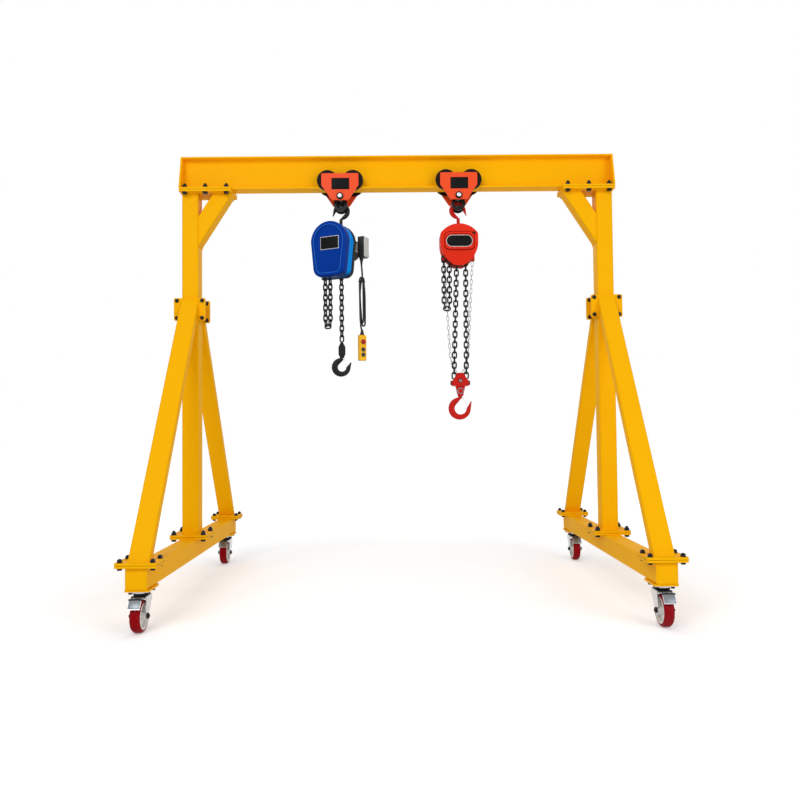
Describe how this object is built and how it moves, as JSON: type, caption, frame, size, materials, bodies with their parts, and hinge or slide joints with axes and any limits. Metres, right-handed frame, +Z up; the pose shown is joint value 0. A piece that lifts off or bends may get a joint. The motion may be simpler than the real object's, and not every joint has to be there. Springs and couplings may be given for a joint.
{
  "type": "portable gantry crane",
  "caption": "Yellow portable A-frame gantry crane on braked casters, with an electric chain hoist and a hand chain block on beam trolleys.",
  "frame": {"origin": "on the floor under the middle of the beam", "axes": "+X along the beam, +Y across it away from the viewer, +Z up"},
  "size_m": [2.606, 1.9556, 2.5],
  "materials": {
    "yellow_paint": "satin",
    "orange_paint": "satin",
    "blue_housing": "gloss",
    "red_housing": "gloss",
    "dark_housing": "satin",
    "red_forging": "satin",
    "black_steel": "satin",
    "zinc_steel": "satin",
    "silver_chain": "satin",
    "red_tread": "satin",
    "white_hub": "satin",
    "control_box": "matte",
    "pendant_shell": "satin",
    "cable_rubber": "matte"
  },
  "bodies": {
    "frame": {"base_end_caps": "yellow_paint", "base_pads": "yellow_paint", "beam_end_plates": "yellow_paint", "beam_seat_plates": "yellow_paint", "caster_heads": "zinc_steel", "caster_pads": "yellow_paint", "clamp_plates": "yellow_paint", "foot_plates": "yellow_paint", "knee_braces": "yellow_paint", "left_base_beam": "yellow_paint", "left_post": "yellow_paint", "leg_braces": "yellow_paint", "leg_head_plates": "yellow_paint", "main_beam": "yellow_paint", "right_base_beam": "yellow_paint", "right_post": "yellow_paint"},
    "front_left_caster_fork": {"front_left_caster_yoke": "zinc_steel"},
    "front_left_caster_pedal": {"front_left_caster_brake_pedal": "zinc_steel"},
    "front_left_caster_wheel": {"front_left_caster_hub": "white_hub", "front_left_caster_tyre": "red_tread"},
    "front_right_caster_fork": {"front_right_caster_yoke": "zinc_steel"},
    "front_right_caster_pedal": {"front_right_caster_brake_pedal": "zinc_steel"},
    "front_right_caster_wheel": {"front_right_caster_hub": "white_hub", "front_right_caster_tyre": "red_tread"},
    "rear_left_caster_fork": {"rear_left_caster_yoke": "zinc_steel"},
    "rear_left_caster_pedal": {"rear_left_caster_brake_pedal": "zinc_steel"},
    "rear_left_caster_wheel": {"rear_left_caster_hub": "white_hub", "rear_left_caster_tyre": "red_tread"},
    "rear_right_caster_fork": {"rear_right_caster_yoke": "zinc_steel"},
    "rear_right_caster_pedal": {"rear_right_caster_brake_pedal": "zinc_steel"},
    "rear_right_caster_wheel": {"rear_right_caster_hub": "white_hub", "rear_right_caster_tyre": "red_tread"},
    "left_trolley": {"left_trolley_plates": "orange_paint", "left_trolley_hanger": "black_steel"},
    "left_trolley_wheels_a_turning": {"left_trolley_wheels_a": "black_steel"},
    "left_trolley_wheels_b_turning": {"left_trolley_wheels_b": "black_steel"},
    "electric_hoist": {"electric_hoist_control_box": "control_box", "electric_hoist_cover": "blue_housing", "electric_hoist_hook_block": "black_steel", "electric_hoist_housing": "blue_housing", "electric_hoist_load_chain": "black_steel", "electric_hoist_motor": "dark_housing", "electric_hoist_top_hook": "black_steel", "pendant_control": "pendant_shell", "pendant_cable": "cable_rubber", "pendant_cable_hank": "cable_rubber"},
    "electric_hoist_lower_hook": {"electric_hoist_hook": "black_steel"},
    "right_trolley": {"right_trolley_plates": "orange_paint", "right_trolley_hanger": "black_steel"},
    "right_trolley_wheels_a_turning": {"right_trolley_wheels_a": "black_steel"},
    "right_trolley_wheels_b_turning": {"right_trolley_wheels_b": "black_steel"},
    "chain_block": {"chain_block_body": "dark_housing", "chain_block_bottom_block": "red_forging", "chain_block_cover": "red_housing", "chain_block_hand_chain": "silver_chain", "chain_block_load_chain": "black_steel", "chain_block_top_hook": "red_forging", "chain_block_wheel_cover": "red_housing"},
    "chain_block_lower_hook": {"chain_block_hook": "red_forging"}
  },
  "joints": [
    {"name": "front_left_caster_swivel", "type": "hinge", "parent": "frame", "child": "front_left_caster_fork", "pos_m": [-1.2, -0.87, 0.1], "axis": [0, 0, 1], "continuous": true},
    {"name": "front_left_caster_spin", "type": "hinge", "parent": "front_left_caster_fork", "child": "front_left_caster_wheel", "pos_m": [-1.2, -0.905, 0.075], "axis": [1, 0, 0], "continuous": true},
    {"name": "front_left_caster_brake", "type": "hinge", "parent": "front_left_caster_fork", "child": "front_left_caster_pedal", "pos_m": [-1.2, -0.9203, 0.1617], "axis": [1, 0, 0], "range_deg": [0, 8]},
    {"name": "front_right_caster_swivel", "type": "hinge", "parent": "frame", "child": "front_right_caster_fork", "pos_m": [1.2, -0.87, 0.1], "axis": [0, 0, 1], "continuous": true},
    {"name": "front_right_caster_spin", "type": "hinge", "parent": "front_right_caster_fork", "child": "front_right_caster_wheel", "pos_m": [1.2, -0.905, 0.075], "axis": [1, 0, 0], "continuous": true},
    {"name": "front_right_caster_brake", "type": "hinge", "parent": "front_right_caster_fork", "child": "front_right_caster_pedal", "pos_m": [1.2, -0.9203, 0.1617], "axis": [1, 0, 0], "range_deg": [0, 8]},
    {"name": "rear_left_caster_swivel", "type": "hinge", "parent": "frame", "child": "rear_left_caster_fork", "pos_m": [-1.2, 0.87, 0.1], "axis": [0, 0, 1], "continuous": true},
    {"name": "rear_left_caster_spin", "type": "hinge", "parent": "rear_left_caster_fork", "child": "rear_left_caster_wheel", "pos_m": [-1.2, 0.835, 0.075], "axis": [1, 0, 0], "continuous": true},
    {"name": "rear_left_caster_brake", "type": "hinge", "parent": "rear_left_caster_fork", "child": "rear_left_caster_pedal", "pos_m": [-1.2, 0.8197, 0.1617], "axis": [1, 0, 0], "range_deg": [0, 8]},
    {"name": "rear_right_caster_swivel", "type": "hinge", "parent": "frame", "child": "rear_right_caster_fork", "pos_m": [1.2, 0.87, 0.1], "axis": [0, 0, 1], "continuous": true},
    {"name": "rear_right_caster_spin", "type": "hinge", "parent": "rear_right_caster_fork", "child": "rear_right_caster_wheel", "pos_m": [1.2, 0.835, 0.075], "axis": [1, 0, 0], "continuous": true},
    {"name": "rear_right_caster_brake", "type": "hinge", "parent": "rear_right_caster_fork", "child": "rear_right_caster_pedal", "pos_m": [1.2, 0.8197, 0.1617], "axis": [1, 0, 0], "range_deg": [0, 8]},
    {"name": "left_trolley_travel", "type": "slide", "parent": "frame", "child": "left_trolley", "axis": [1, 0, 0], "range_m": [-0.48, 0.38]},
    {"name": "left_trolley_wheels_a_roll", "type": "hinge", "parent": "left_trolley", "child": "left_trolley_wheels_a_turning", "pos_m": [-0.4045, 0, 2.3523], "axis": [0, 1, 0], "range_deg": [-834.4, 660.8]},
    {"name": "left_trolley_wheels_b_roll", "type": "hinge", "parent": "left_trolley", "child": "left_trolley_wheels_b_turning", "pos_m": [-0.2575, 0, 2.3523], "axis": [0, 1, 0], "range_deg": [-834.4, 660.8]},
    {"name": "electric_hoist_swing", "type": "hinge", "parent": "left_trolley", "child": "electric_hoist", "pos_m": [-0.331, 0, 2.2], "axis": [0, 1, 0], "range_deg": [-12, 12]},
    {"name": "electric_hoist_hook_swivel", "type": "hinge", "parent": "electric_hoist", "child": "electric_hoist_lower_hook", "pos_m": [-0.331, 0, 1], "axis": [0, 0, 1], "continuous": true},
    {"name": "right_trolley_travel", "type": "slide", "parent": "frame", "child": "right_trolley", "axis": [1, 0, 0], "range_m": [-0.38, 0.46]},
    {"name": "right_trolley_wheels_a_roll", "type": "hinge", "parent": "right_trolley", "child": "right_trolley_wheels_a_turning", "pos_m": [0.2815, 0, 2.3523], "axis": [0, 1, 0], "range_deg": [-660.8, 799.7]},
    {"name": "right_trolley_wheels_b_roll", "type": "hinge", "parent": "right_trolley", "child": "right_trolley_wheels_b_turning", "pos_m": [0.4285, 0, 2.3523], "axis": [0, 1, 0], "range_deg": [-660.8, 799.7]},
    {"name": "chain_block_swing", "type": "hinge", "parent": "right_trolley", "child": "chain_block", "pos_m": [0.355, 0, 2.2], "axis": [0, 1, 0], "range_deg": [-12, 12]},
    {"name": "chain_block_hook_swivel", "type": "hinge", "parent": "chain_block", "child": "chain_block_lower_hook", "pos_m": [0.355, 0, 1], "axis": [0, 0, 1], "continuous": true}
  ],
  "couplings": [
    {"joint": "left_trolley_wheels_a_roll", "follows": "left_trolley_travel", "rad_per_m": 30.303},
    {"joint": "left_trolley_wheels_b_roll", "follows": "left_trolley_travel", "rad_per_m": 30.303},
    {"joint": "right_trolley_wheels_a_roll", "follows": "right_trolley_travel", "rad_per_m": 30.303},
    {"joint": "right_trolley_wheels_b_roll", "follows": "right_trolley_travel", "rad_per_m": 30.303}
  ]
}
